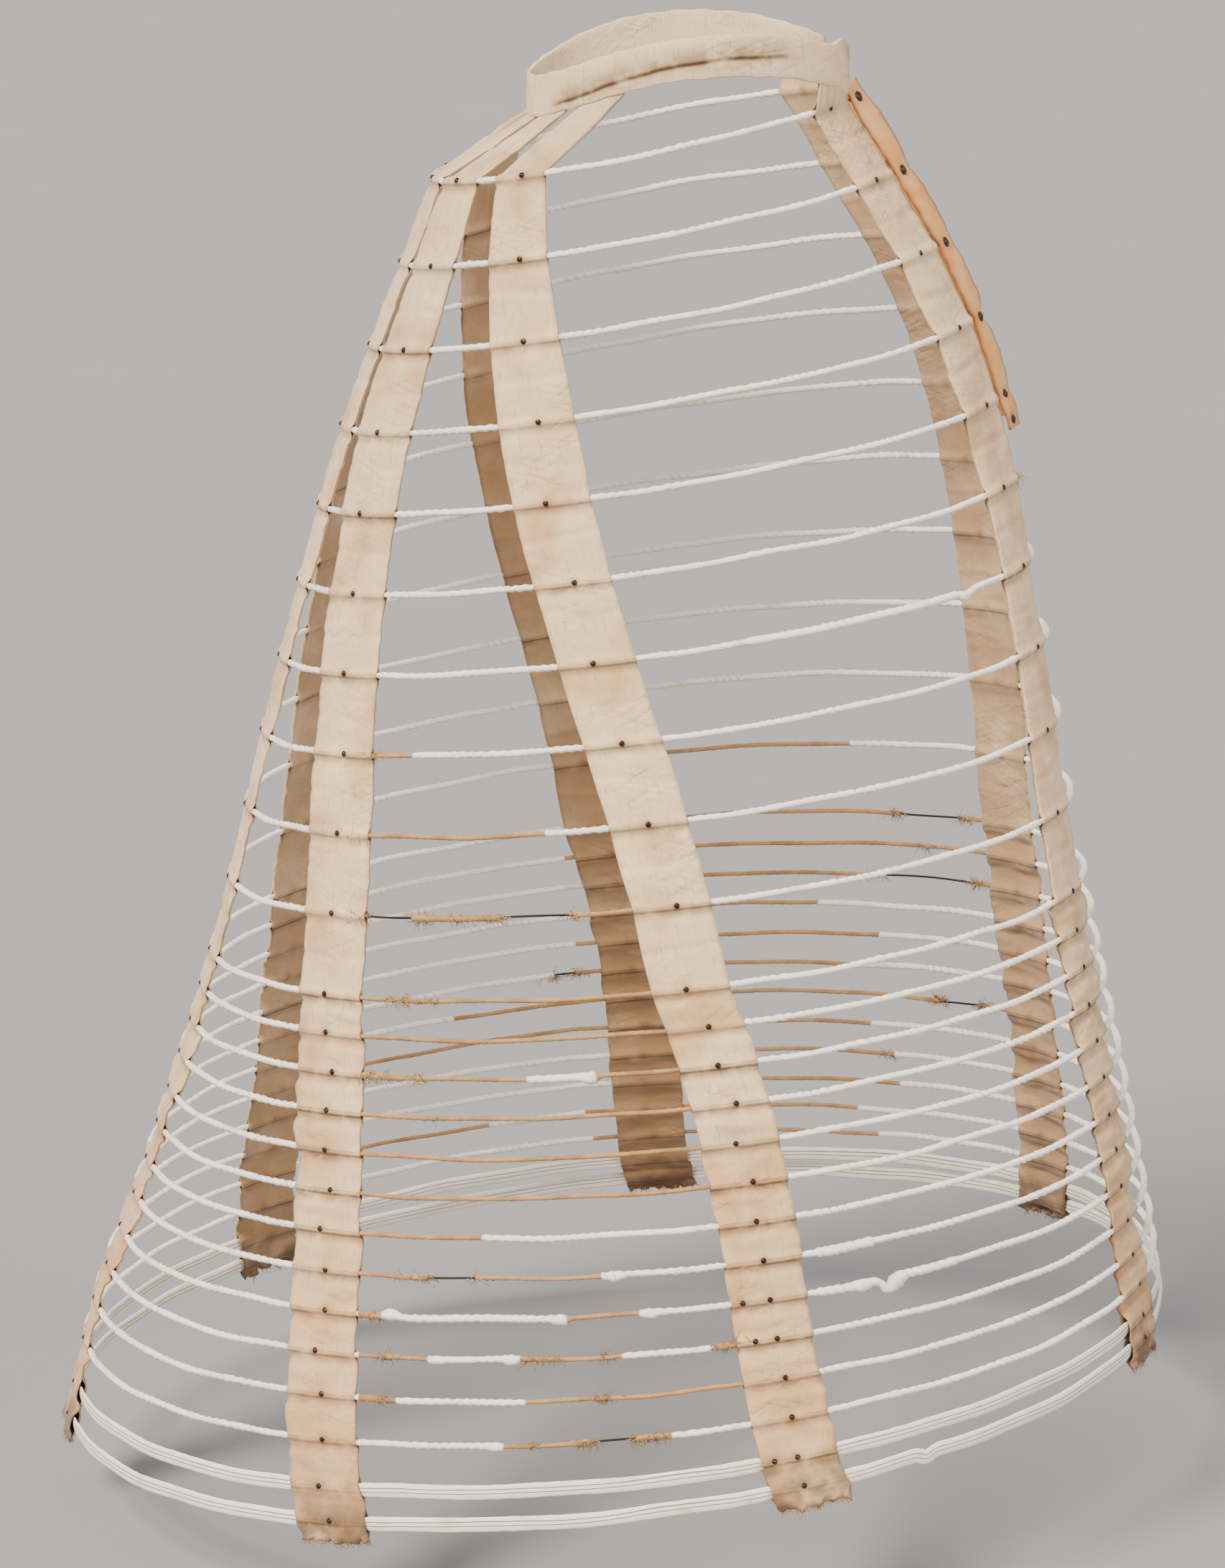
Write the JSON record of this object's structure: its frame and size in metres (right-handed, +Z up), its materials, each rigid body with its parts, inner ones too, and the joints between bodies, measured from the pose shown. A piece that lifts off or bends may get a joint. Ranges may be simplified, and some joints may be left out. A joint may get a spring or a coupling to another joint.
{
  "type": "crinoline cage",
  "caption": "Cage underskirt of graded covered steel hoops held in vertical double cotton tapes, with a narrow arched waistband, leather front facings and flat hem bands.",
  "frame": {"origin": "middle of the waist, inside the waistband", "axes": "+X to the wearer's front, +Y to the wearer's left, +Z up"},
  "size_m": [0.7866, 0.7372, 0.9875],
  "materials": {
    "hoop_cover": "white wound cotton over tan braided cotton, worn",
    "hem_band": "white wound cotton over flat steel",
    "tape_cotton": "aged cream woven cotton, wrinkled and stained",
    "band_cotton": "aged cream woven cotton, folded",
    "facing_leather": "thin orange-tan leather, wavy edged",
    "rivet_metal": "dark tarnished metal with rust stain",
    "stud_metal": "dark tarnished metal"
  },
  "bodies": {
    "root": {"facing_left": "facing_leather", "facing_right": "facing_leather", "facing_studs_left": "stud_metal", "facing_studs_right": "stud_metal", "hoop_01": "hoop_cover", "hoop_02": "hoop_cover", "hoop_03": "hoop_cover", "hoop_04": "hoop_cover", "hoop_05": "hoop_cover", "hoop_06": "hoop_cover", "hoop_07": "hoop_cover", "hoop_08": "hoop_cover", "hoop_09": "hoop_cover", "hoop_10": "hoop_cover", "hoop_11": "hoop_cover", "hoop_12": "hoop_cover", "hoop_13": "hoop_cover", "hoop_14": "hoop_cover", "hoop_15": "hoop_cover", "hoop_16": "hoop_cover", "hoop_17": "hoop_cover", "hoop_18": "hoop_cover", "hoop_19": "hoop_cover", "hoop_20": "hoop_cover", "hoop_21": "hoop_cover", "hoop_22": "hoop_cover", "hoop_23": "hem_band", "hoop_24": "hem_band", "rivets_back_left": "rivet_metal", "rivets_back_right": "rivet_metal", "rivets_centre_back": "rivet_metal", "rivets_front_left": "rivet_metal", "rivets_front_right": "rivet_metal", "rivets_side_left": "rivet_metal", "rivets_side_right": "rivet_metal", "tape_back_left_inner": "tape_cotton", "tape_back_left_outer": "tape_cotton", "tape_back_right_inner": "tape_cotton", "tape_back_right_outer": "tape_cotton", "tape_centre_back_inner": "tape_cotton", "tape_centre_back_outer": "tape_cotton", "tape_front_left_inner": "tape_cotton", "tape_front_left_outer": "tape_cotton", "tape_front_right_inner": "tape_cotton", "tape_front_right_outer": "tape_cotton", "tape_side_left_inner": "tape_cotton", "tape_side_left_outer": "tape_cotton", "tape_side_right_inner": "tape_cotton", "tape_side_right_outer": "tape_cotton", "waistband": "band_cotton"}
  },
  "joints": []
}
